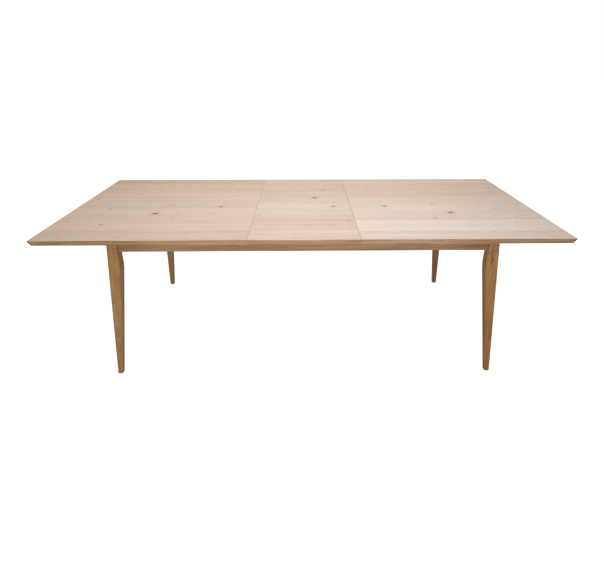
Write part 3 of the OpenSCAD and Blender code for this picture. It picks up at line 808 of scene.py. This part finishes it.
# %% [markdown]
# ## The frame's oak
# The legs and aprons are the same timber with more of its own colour left in the oil. The
# grain of a leg runs up it and that of an apron runs along it, so each piece turns the pattern.
# One material could serve all eight, but no two pieces of timber are alike: each has its own
# tree, the front right leg has two long knots, two legs turn darker towards the foot, and the
# long aprons darken towards their ends with painted shade.

# %% Colours of the frame
LEG_PALE = (0.52, 0.285, 0.100)
LEG_DEEP = (0.24, 0.115, 0.036)
APRON_PALE = (0.56, 0.33, 0.162)
APRON_DEEP = (0.22, 0.115, 0.050)
FRAME_SHARES = (0.34, 0.22, 0.36, 0.18)
FRAME_STREAK = (4, 170, 170)

# %% Legs
leg_knots = {"leg_front_right": (
    (0.655, -0.0285, 0.0046, 0.50, 9.0), (0.608, -0.0260, 0.0058, 0.55, 5.0))}
leg_tones = {"leg_front_right": (1.12, 1.04, 0.98, 1), "leg_rear_right": (0.82, 0.70, 0.84, 1)}
# two legs turn darker towards the foot
leg_foot_darkening = {"leg_front_right": (0.60, 0.15, (0.77, 0.65, 0.63)),
             "leg_front_left": (0.45, 0.10, (0.91, 0.90, 0.86))}
for number, (node, piece) in enumerate(legs.items()):
    low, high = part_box(node)
    middle = ((low.x + high.x) / 2, (low.y + high.y) / 2, 0)
    piece.data.materials.append(oak(piece.name + "_finish", LEG_PALE, LEG_DEEP, middle, "Z",
                                    first_edge=-0.05, seed=60.0 + 7 * number,
                                    shares=FRAME_SHARES, streak=FRAME_STREAK,
                                    knots=leg_knots.get(node, ()), tilt=0.03,
                                    tones=(leg_tones.get(node, (1, 1, 1, 1)),),
                                    darkening_along=leg_foot_darkening.get(node)))

# %% Aprons
# painted shade darkening the long aprons towards their ends
APRON_END_SHADE = (0.60, 0.84, (0.78, 0.70, 0.56))

for number, (node, piece) in enumerate(aprons.items()):
    low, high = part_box(node)
    grain = "X" if node in ("apron_front", "apron_rear") else "Y"
    piece.data.materials.append(oak(piece.name + "_finish", APRON_PALE, APRON_DEEP,
                                    (low + high) / 2, grain, first_edge=-0.05,
                                    seed=90.0 + 5 * number, shares=FRAME_SHARES,
                                    streak=FRAME_STREAK, tilt=0.04,
                                    darkening_along=APRON_END_SHADE if grain == "X" else None))
print("oak on", len(legs), "legs and", len(aprons), "aprons")

# %% [markdown]
# ## Fittings
# Nobody sees these from above, but they carry the table: extruded aluminium channels and
# runners, zinc-plated screws, bolts and latches, brass pins and sleeves, nylon shoes and feet,
# and felt where wood would rub on wood. Their exact shapes come with the frame, so only their
# finishes are made here. A plain grey with some gloss would pass from afar, but metal is told
# by its marks. The finishes share two groups, one for fine lines that a tool leaves and one for
# the blotches of handling.

# %% Tool marks and handling
def make_tool_marks():
    group, given, out = start_group("tool marks", {
        "Vector": ("vector", (0, 0, 0)), "Lines": ("vector", (2, 900, 900))}, ["Mark", "Height"])
    lines = noise(group, given["Vector"], given["Lines"])
    group.links.new(lines, out["Mark"])
    group.links.new(fade(group, lines, 0.35, 0.65), out["Height"])
    return group


def make_handling():
    group, given, out = start_group("handling", {
        "Vector": ("vector", (0, 0, 0)), "Per metre": ("number", 30)}, ["Blotch"])
    blotch = put(group, "TexNoise", {"Vector": given["Vector"], "Scale": given["Per metre"],
                                     "Detail": 4}).outputs["Fac"]
    group.links.new(fade(group, blotch, 0.35, 0.7), out["Blotch"])
    return group


tool_marks = make_tool_marks()
handling = make_handling()


def fitting(name, fresh, dull, metal, rough, lines, blotches, relief, sheen=0.0):
    """fresh and dull are the colours of clean and of handled places."""
    material, tree = start_material(name)
    here = put(tree, "TexCoord").outputs
    marks = use(tree, tool_marks, Vector=here["Object"], Lines=lines)
    blotch = use(tree, handling, Vector=here["Object"], Per_metre=blotches)["Blotch"]
    colour = mix(tree, sum_of(tree, "MULTIPLY_ADD", marks["Mark"], 0.5,
                              sum_of(tree, "MULTIPLY", blotch, 0.5), clamp=True), fresh, dull)
    edge = use(tree, rubbed_edge, Normal=here["Normal"])["Edge"]
    colour = mix(tree, sum_of(tree, "MULTIPLY", edge, 0.3), colour, fresh)
    satin = sum_of(tree, "MULTIPLY_ADD", marks["Mark"], 0.16, rough - 0.08)
    satin = sum_of(tree, "MULTIPLY_ADD", blotch, 0.1, satin)
    surface(tree, colour, satin, marks["Height"], 0.3, relief, Metallic=metal, Sheen_Weight=sheen)
    return material


# %% Metals, nylon and felt
finishes = {
    "aluminium": fitting("extruded aluminium", (0.80, 0.81, 0.82), (0.64, 0.65, 0.67), 1.0, 0.38,
                         (1.5, 1400, 1400), 18, 0.00006),
    "zinc_steel": fitting("zinc-plated steel", (0.74, 0.74, 0.70), (0.52, 0.53, 0.53), 1.0, 0.34,
                          (420, 420, 420), 160, 0.00004),
    "brass": fitting("turned brass", (0.80, 0.62, 0.31), (0.62, 0.45, 0.20), 1.0, 0.28,
                     (60, 60, 2600), 90, 0.00004),
    "nylon": fitting("black nylon", (0.055, 0.055, 0.057), (0.028, 0.028, 0.030), 0.0, 0.48,
                     (1500, 1500, 1500), 120, 0.00005),
    "felt": fitting("pressed wool felt", (0.34, 0.33, 0.31), (0.20, 0.195, 0.185), 0.0, 0.9,
                    (900, 700, 900), 260, 0.0006, sheen=0.35),
}

# %% [markdown]
# ## The hidden timber
# The cross rails are oak without oil, and the blocks and battens are beech. Both are the same
# function again, because hidden timber grows as seen timber does, with duller or finer values.

# %% Rail oak and beech
finishes["rail_oak"] = oak("sanded rail oak", (0.52, 0.36, 0.21), (0.36, 0.23, 0.12), (0, 0, 0.68),
                           "Y", first_edge=-0.05, seed=120.0, rough=0.62)
finishes["beech"] = oak("sanded beech", (0.66, 0.47, 0.32), (0.55, 0.36, 0.23), (0, 0, 0.70),
                        "Y", first_edge=-0.05, seed=140.0, shares=(0.15, 0.3, 0.15, 0.15),
                        ring_width=0.0022, rough=0.6)
print("finishes:", ", ".join(finishes))

# %% [markdown]
# ## Each part to its body
# A piece that stands for a part of the frame hides it and moves with its body. Every part that
# is left keeps its exact shape and only takes a finish, the one that its material slot names.
# The bodies and slots could be typed in here, but reading them from the record can't go wrong.

# %% Replace and ride
stands_for = {half_left: "top_left", leaf: "leaf_panel", half_right: "top_right"}
stands_for.update({piece: node for node, piece in {**legs, **aprons}.items()})
body_of = {node: body for body, nodes in frame["record"]["behaviour"]["bodies"].items()
           for node in nodes}
slot_of = {part["node"]: part["material_slot"] for part in frame["record"]["subparts"]}
for piece, node in stands_for.items():
    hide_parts(node)
    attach(piece, body_of[node])
hidden = set(stands_for.values())
for node, part in frame["nodes"].items():
    if node in hidden:
        continue
    for place in part.material_slots:
        place.material = finishes[slot_of[node]]
print(len(stands_for), "parts replaced,", len(frame["nodes"]) - len(hidden), "parts refinished")

# %% [markdown]
# ## The studio
# A white floor that runs into a white background, one broad soft lamp above the middle of the
# table, a second lamp low in front, and an even light all round. The upper lamp's fall-off
# darkens both ends of the long top a little. A curved backdrop would cast its own shade, so the
# floor is a wide plain plane instead, and it glows faintly where it is seen, as a lit studio
# floor does, so that it stays white. From below it is clear, to show the underside.

# %% Floor
nothing_selected()
bpy.ops.mesh.primitive_plane_add(size=60, location=(0, 0, -0.0005))
floor = bpy.context.object
floor.name = "studio_floor"
white, tree = start_material("studio white")
plain = put(tree, "BsdfPrincipled", {"Base Color": (0.80, 0.80, 0.80, 1), "Roughness": 0.9})
glowing = put(tree, "BsdfPrincipled", {"Base Color": (0.90, 0.90, 0.90, 1), "Roughness": 0.9,
                                       "Emission Color": (1, 1, 1, 1), "Emission Strength": 0.72})
seen = put(tree, "LightPath").outputs["Is Camera Ray"]
from_above = put(tree, "MixShader", {0: seen, 1: plain.outputs[0], 2: glowing.outputs[0]})
from_below = put(tree, "BsdfTransparent")
side = put(tree, "NewGeometry").outputs["Backfacing"]
choice = put(tree, "MixShader", {0: side, 1: from_above.outputs[0], 2: from_below.outputs[0]})
put(tree, "OutputMaterial", {"Surface": choice.outputs[0]})
floor.data.materials.append(white)


# %% Lamps
def lamp(name, place, aim, wide, deep, watts, colour):
    data = bpy.data.lights.new(name, "AREA")
    data.shape, data.size, data.size_y = "RECTANGLE", wide, deep
    data.energy, data.color = watts, colour
    light = bpy.data.objects.new(name, data)
    scene.collection.objects.link(light)
    light.location = place
    light.rotation_euler = (Vector(aim) - Vector(place)).to_track_quat("-Z", "Y").to_euler()
    return light


lamp("overhead", (0.06, -0.35, 2.35), (0.06, 0, 0.75), 1.5, 1.2, 21, (1.0, 1.0, 1.0))
lamp("front fill", (0.0, -4.0, 1.0), (0, 0, 0.4), 3.0, 1.2, 40, (1.0, 1.0, 1.0))

# %% Light all round
world = bpy.data.worlds.new("studio air")
scene.world = world
world.use_nodes = True
tree = world.node_tree
tree.nodes.clear()
backdrop = put(tree, "Background", {"Color": (1, 1, 1, 1), "Strength": 1.0})
ambient = put(tree, "Background", {"Color": (1.0, 1.0, 1.0, 1), "Strength": 0.48})
ray = put(tree, "LightPath").outputs["Is Camera Ray"]
choice = put(tree, "MixShader", {0: ray, 1: ambient.outputs[0], 2: backdrop.outputs[0]})
put(tree, "OutputWorld", {"Surface": choice.outputs[0]})
scene.view_settings.view_transform = "Standard"

# %% [markdown]
# ## The camera
# It stands in front of the table's middle, a little above the head of someone seated, and looks
# down by 23 degrees with a wide lens. Tilting it further would make the legs lean in, so a small
# shift of the lens sets the table a little above the view's middle instead.

# %% Camera
LOOKS_DOWN = 0.404      # radians
TURNED = 0.012

camera = bpy.data.objects.new("camera", bpy.data.cameras.new("camera"))
scene.collection.objects.link(camera)
camera.location = (-0.0064, -2.1674, 1.4685)
camera.rotation_euler = (math.pi / 2 - LOOKS_DOWN, 0.0, -TURNED)
camera.data.sensor_width = 36
camera.data.lens = 24.86
camera.data.shift_x = -0.0086
camera.data.shift_y = -0.072
camera.data.clip_start, camera.data.clip_end = 0.05, 200
scene.camera = camera
print("camera looks down by", round(math.degrees(LOOKS_DOWN), 1), "degrees")
